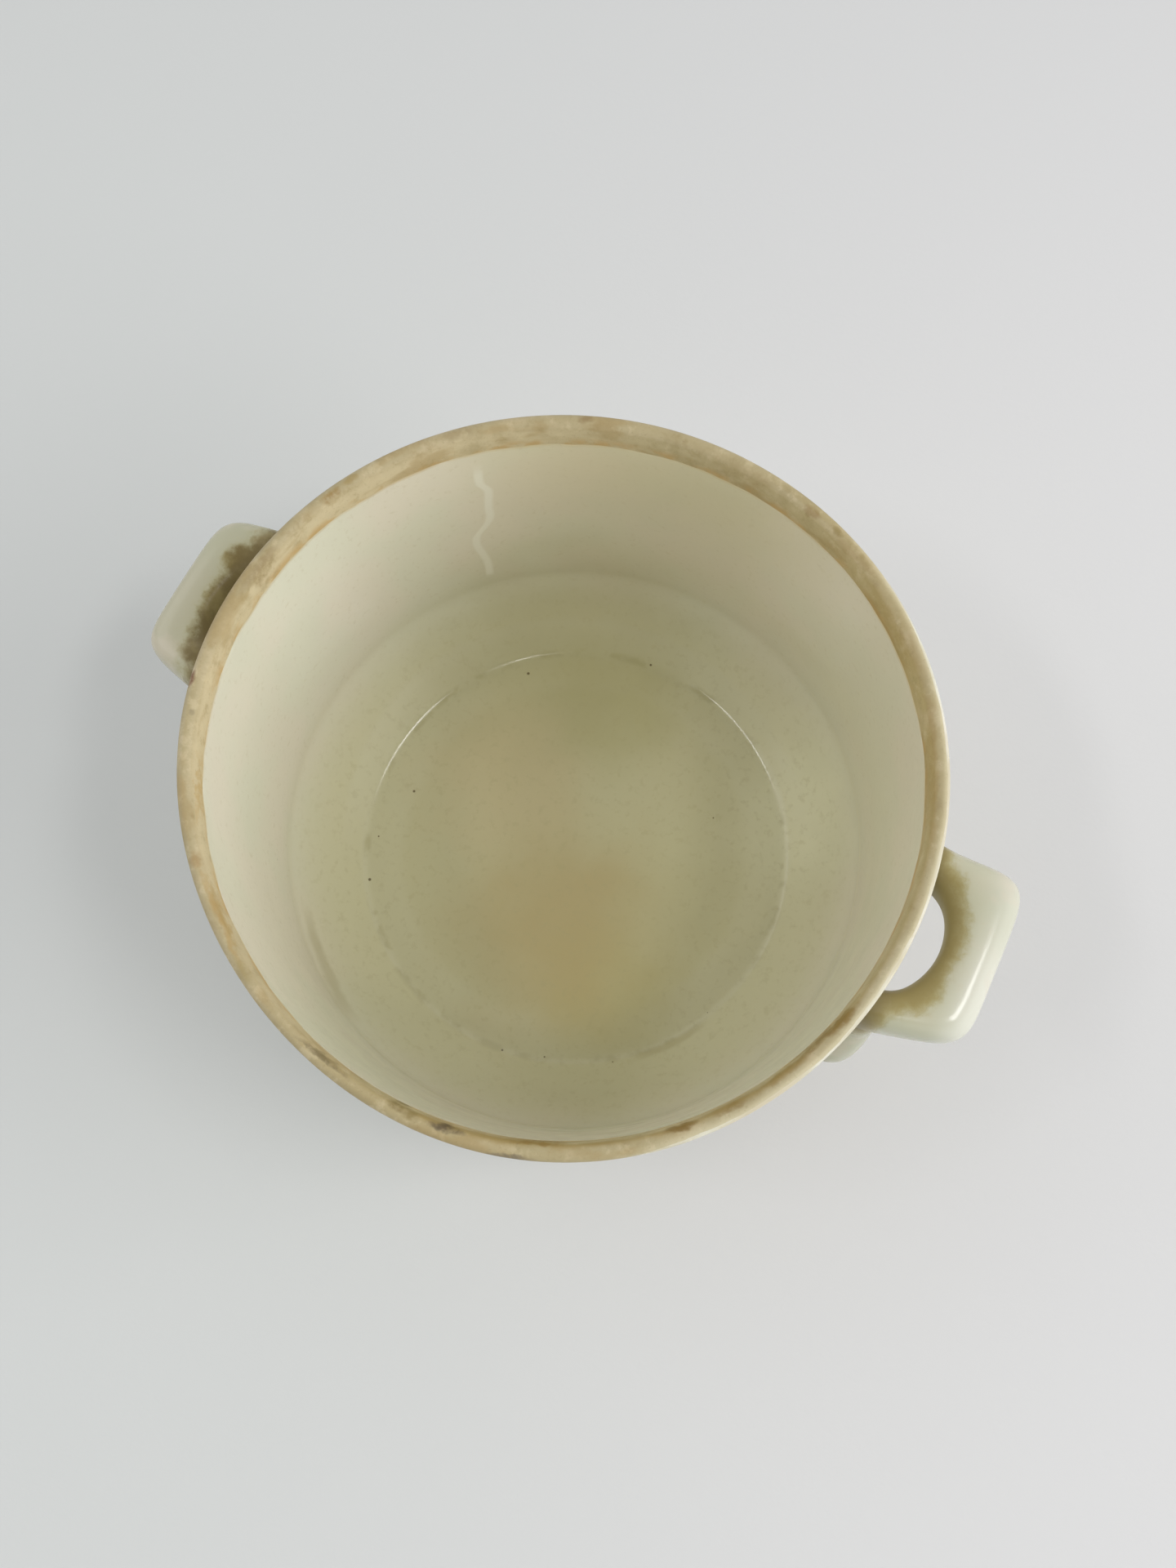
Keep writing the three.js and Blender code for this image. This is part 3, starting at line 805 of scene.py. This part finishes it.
def handle(name, shift, left_swell, right_swell, flare, lean):
    """One handle along +X, its arms and tongues melted together and cut to the wall. No two are
    quite alike: the grip sits a little aside, each side may swell, and the outer edge may lean."""
    grip_steps, tongue_steps = 72, 24
    fan = [lug_ring(pi * i / grip_steps, 0) for i in range(grip_steps + 1)]
    fan = [lug_ring(0, root_depth), *fan, lug_ring(pi, root_depth)]
    shares = [i / tongue_steps for i in range(tongue_steps + 1)]
    tongues = [loft([tongue_ring(side, share) for share in shares]) for side in (1, -1)]
    melts_onto = wall_slab(front=0.0002, back=0.0035, half_angle=0.42, low=0.024, high=0.104)
    blank = joined(name, [loft(fan), *tongues, melts_onto])
    settle(blank, "REMESH", mode="VOXEL", voxel_size=clay_voxel)
    settle(blank, "SMOOTH", factor=0.5, iterations=14)
    spots = np.empty(len(blank.data.vertices) * 3)
    blank.data.vertices.foreach_get("co", spots)
    x, y, z = spots.reshape(-1, 3).T
    grip = eased(z, 0.064, 0.078)
    outwards = eased(x, rim_radius, rim_radius + handle_reach)
    left, right = eased(y, 0.004, 0.02), eased(-y, 0.004, 0.02)
    from_axis = np.hypot(x, y)
    x = x + lean * y * grip * outwards
    y = y + grip * (shift + (left_swell + flare * outwards) * left - right_swell * right)
    # near the wall, points keep their distance from the axis, so that the slab stays in the wall
    by_the_wall = 1 - eased(from_axis, rim_radius + 0.0005, rim_radius + 0.006)
    kept = 1 + (from_axis / np.hypot(x, y) - 1) * by_the_wall
    x, y = x * kept, y * kept
    blank.data.vertices.foreach_set("co", np.stack([x, y, z], axis=-1).ravel())
    wall_inside = wall_slab(front=0.00005, back=0.012, half_angle=0.5, low=0.018, high=0.1075)
    cutter = joined("wall_cutter", [wall_inside])
    settle(blank, "BOOLEAN", operation="DIFFERENCE", object=cutter, solver="EXACT")
    bpy.data.objects.remove(cutter)
    biggest_body(blank)
    return blank


def place_handle(piece, bearing):
    """Turns a handle to its side of the pot and pulls it with the wall."""
    piece.data.transform(Matrix.Rotation(bearing, 4, "Z"))
    spots = np.empty(len(piece.data.vertices) * 3)
    piece.data.vertices.foreach_get("co", spots)
    x, y, z = spots.reshape(-1, 3).T
    piece.data.vertices.foreach_set("co", np.stack(fired(x, y, z), axis=-1).ravel())
    piece.data.update()


def fat_stained_glaze_with_painted_light(
    side, bearing, middle, half_width, spread, root_spread, cloudy, brown_from, brown_full, halo, blot
):
    """The handles' glaze, which cooking fat browned round the hole and in the corners by the wall, where
    painted shade darkens it too.
    The stain has a middle and a half width along the wall, spreads from the hole and from the wall,
    and is more or less cloudy. It turns brown between two strengths, inside a yellowed halo. blot is
    one blot more: its place along the wall and out from the axis, and its size."""
    glaze = Finish(bpy.data.materials.new(f"{side} handle glaze"))
    colour = glaze_colour(glaze, tone(195, 194, 172), tone(199, 193, 174), tone(187, 190, 165))
    reach = glaze.along(glaze.place, (cos(bearing), sin(bearing), 0))
    aside = glaze.along(glaze.place, (-sin(bearing), cos(bearing), 0))
    from_hole = (((reach - rim_radius) / hole_reach) ** 2 + ((aside - middle) / half_width) ** 2) ** 0.5
    from_hole = (from_hole - 1) * hole_reach
    from_wall = (reach**2 + aside**2) ** 0.5 - rim_radius
    round_hole = glaze.ramp(from_hole, spread, -0.0005, 0.0, 1.0)
    # by the wall the darkening is part fat stain, part painted shade in the corner
    at_roots = glaze.ramp(glaze.maths("ABSOLUTE", aside - middle), 0.007, 0.013)
    at_roots = at_roots * glaze.ramp(from_wall, root_spread, 0.0015, 0.0, 1.15)
    clouds = glaze.mottle(0.008, detail=5.0, roughness=0.6)
    stain_and_root_shade = glaze.maths("MAXIMUM", round_hole, at_roots)
    blot_aside, blot_reach, blot_size = blot
    from_blot = ((aside - blot_aside) ** 2 + (reach - blot_reach) ** 2) ** 0.5
    stain_and_root_shade = stain_and_root_shade + glaze.ramp(from_blot, blot_size, 0.001, 0.0, 0.3)
    flecks = glaze.mottle(0.0032, detail=5.0, roughness=0.65)
    stain_and_root_shade = stain_and_root_shade + ((clouds - 0.5) * cloudy + (flecks - 0.5) * 0.8) * glaze.ramp(stain_and_root_shade, 0.0, 0.3)
    # the grip's top took most of the fat
    on_grip = glaze.ramp(glaze.coordinate("Z"), 0.066, 0.078)
    stain_and_root_shade = glaze.ramp(stain_and_root_shade, 0.0, 1.0) * (on_grip * 0.75 + 0.25)
    if side == "left":
        brown = glaze.blend(tone(112, 94, 48), tone(138, 122, 72), glaze.ramp(clouds, 0.45, 0.65))
        # painted shade: the left handle's glaze darker all over
        colour = glaze.blend(colour, tone(174, 168, 132), 0.4)
    else:
        # the brown goes darker next to the wall as painted shade
        brown = glaze.blend(tone(144, 127, 70), tone(104, 88, 46), glaze.ramp(from_wall, 0.007, 0.001))
        # painted highlight: the outer edge of the grip paler
        painted_edge_highlight = glaze.ramp(reach, 0.102, 0.111) * glaze.ramp(aside, 0.012, -0.008, 0.3, 0.65)
        colour = glaze.blend(colour, tone(226, 225, 214), painted_edge_highlight)
    yellowing = glaze.ramp(from_hole, 0.016, 0.001, 0.0, 1.0) * halo
    colour = glaze.blend(colour, tone(180, 173, 130), yellowing)
    colour = glaze.blend(colour, tone(176, 166, 116), glaze.ramp(stain_and_root_shade, 0.0, 0.8) * 0.8)
    colour = glaze.blend(colour, brown, glaze.ramp(stain_and_root_shade, brown_from, brown_full) * 0.92)
    blush = glaze.ramp(glaze.mottle(0.016), 0.52, 0.66)
    colour = glaze.blend(colour, tone(216, 202, 184), blush * (1 - stain_and_root_shade) * 0.35)
    return glaze_surface(glaze, colour, stain_and_root_shade)


handle_sides = {
    "right": {
        "bearing": handle_turn,
        "bends": {
            "shift": -0.0015, "left_swell": 0.0004, "right_swell": 0.0009, "flare": 0.0030, "lean": 0.03,
        },
        "fat": {
            "middle": -0.0020, "half_width": 0.0145, "spread": 0.0084, "root_spread": 0.0100, "cloudy": 0.45,
            "brown_from": 0.0, "brown_full": 1.25, "halo": 0.2, "blot": (-0.0150, 0.0985, 0.0075),
        },
    },
    "left": {
        "bearing": pi - handle_turn,
        "bends": {
            "shift": -0.0012, "left_swell": 0.0002, "right_swell": 0.0024, "flare": 0.0, "lean": 0.0,
        },
        "fat": {
            "middle": -0.0030, "half_width": 0.0190, "spread": 0.0112, "root_spread": 0.0120, "cloudy": 0.8,
            "brown_from": 0.15, "brown_full": 0.85, "halo": 0.15, "blot": (-0.0135, 0.1050, 0.0055),
        },
    },
}
for side, own in handle_sides.items():
    lug = handle(f"lug_{side}", **own["bends"])
    place_handle(lug, own["bearing"])
    lug.data.materials.append(fat_stained_glaze_with_painted_light(side, own["bearing"], **own["fat"]))
    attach(lug, "root")
    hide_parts(f"handle_{side}")


# Slip under each arm: liquid clay that glued the handle to the wall. It lies between the two and
# is seen only if a handle breaks off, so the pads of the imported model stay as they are.
slip = Finish(bpy.data.materials.new("dried slip"))
slip_clouds = slip.ramp(slip.mottle(0.003, detail=4.0), 0.4, 0.6)
slip_colour = slip.blend(tone(207, 196, 168), tone(188, 172, 138), slip_clouds)
slip_roughness = slip.ramp(slip.mottle(0.002), 0.3, 0.7, 0.6, 0.8)
slip_material = slip.surface(slip_colour, slip_roughness, slip.mottle(0.0006), 0.0001)
for side in ("right", "left"):
    for number in (1, 2):
        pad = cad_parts[f"slip_joint_{side}_{number}"]
        pad.data.materials.clear()
        pad.data.materials.append(slip_material)


# The floor: pale matt paper spread on a table, wide enough to fill the picture. It is no part of
# the pot, and lies a hair below the foot so that the two don't share a plane.
floor_width = 6.0
floor_level = -0.0001
half = floor_width / 2
floor_corners = [(x * half, y * half, floor_level) for x, y in ((-1, -1), (1, -1), (1, 1), (-1, 1))]
floor = new_piece("floor", floor_corners, [(0, 1, 2, 3)])
paper = Finish(bpy.data.materials.new("pale paper"))
# painted light and shade: the paper darker to the left and lighter to the right
paper_colour = paper.blend(tone(211, 213, 211), tone(217, 216, 216), paper.ramp(paper.toward(24), -0.9, 0.9))
paper_colour = paper.blend(paper_colour, tone(217, 217, 216), paper.mottle(0.05) * 0.3)
floor.data.materials.append(paper.surface(paper_colour, 0.9, paper.mottle(0.002), 0.00005))


# The light and the camera: a wide window to the right, a far one to the left, three small lamps
# that give the glints in the glaze, a soft sky, and the camera where the photograph was taken.
def lamp(name, place, aim, width, height, power, colour, glints=True):
    """A lamp with a rectangular face. Without glints, it isn't mirrored in the glaze."""
    light = bpy.data.lights.new(name, "AREA")
    light.shape = "RECTANGLE"
    light.size, light.size_y = width, height
    light.energy = power
    light.color = colour
    holder = bpy.data.objects.new(name, light)
    holder.location = place
    holder.visible_glossy = glints
    holder.rotation_euler = (Vector(aim) - Vector(place)).to_track_quat("-Z", "Y").to_euler()
    bpy.context.scene.collection.objects.link(holder)


pot_middle = (0, 0, 0.06)
lamp("window", (1.36, 0.28, 0.72), pot_middle, 1.3, 0.9, 12.2, (1.0, 1.0, 0.99), glints=False)
lamp("far_window", (-1.25, -0.20, 0.95), pot_middle, 1.3, 0.9, 2.6, (1.0, 1.0, 1.0))
lamp("right_strip", (0.597, 0.105, 1.093), pot_middle, 0.36, 0.15, 2.0, (1.0, 1.0, 1.0))
lamp("left_strip", (-0.493, -0.385, 1.083), pot_middle, 0.38, 0.11, 1.3, (1.0, 1.0, 1.0))
lamp("ceiling_spot", (0.339, -0.351, 1.151), pot_middle, 0.07, 0.05, 0.45, (1.0, 1.0, 1.0))

# the camera stood in its own light, so the sky behind it is dimmer
behind_camera = (0.1405, -0.197, 0.9703)
world = bpy.data.worlds.new("soft sky")
bpy.context.scene.world = world
sky = Finish(world, "Generated")
close_to_camera = sky.along(sky.place, behind_camera)
light_dimming = sky.ramp(close_to_camera, 0.62, 0.94, 0.80, 0.20)
light = sky.node("Background", {}, {"Color": (0.97, 0.985, 1.0, 1), "Strength": light_dimming})
backdrop_dimming = sky.ramp(close_to_camera, 0.62, 0.94, 1.0, 0.30)
backdrop = sky.node("Background", {}, {"Color": tone(222, 222, 221), "Strength": backdrop_dimming})
seen_or_mirrored = sky.maths(
    "MAXIMUM",
    sky.node("LightPath", output="Is Camera Ray"),
    sky.node("LightPath", output="Is Glossy Ray"),
)
both = sky.node("MixShader", {}, {0: seen_or_mirrored, 1: light, 2: backdrop})
sky.node("OutputWorld", {}, {"Surface": both})

camera_place = Vector((0.05243, -0.07348, 0.39942))
camera_forward = Vector((-0.14322, 0.23190, -0.96214)).normalized()
picture_up = Vector((-0.41486, 0.86856, 0.27110))
camera_right = camera_forward.cross(picture_up).normalized()
camera_up = camera_right.cross(camera_forward)
camera_data = bpy.data.cameras.new("camera")
camera_data.lens = 30
camera_data.sensor_width = 36
camera = bpy.data.objects.new("camera", camera_data)
axes = Matrix((camera_right, camera_up, -camera_forward)).transposed()
camera.matrix_world = Matrix.Translation(camera_place) @ axes.to_4x4()
bpy.context.scene.collection.objects.link(camera)
bpy.context.scene.camera = camera
bpy.context.scene.view_settings.view_transform = "Standard"
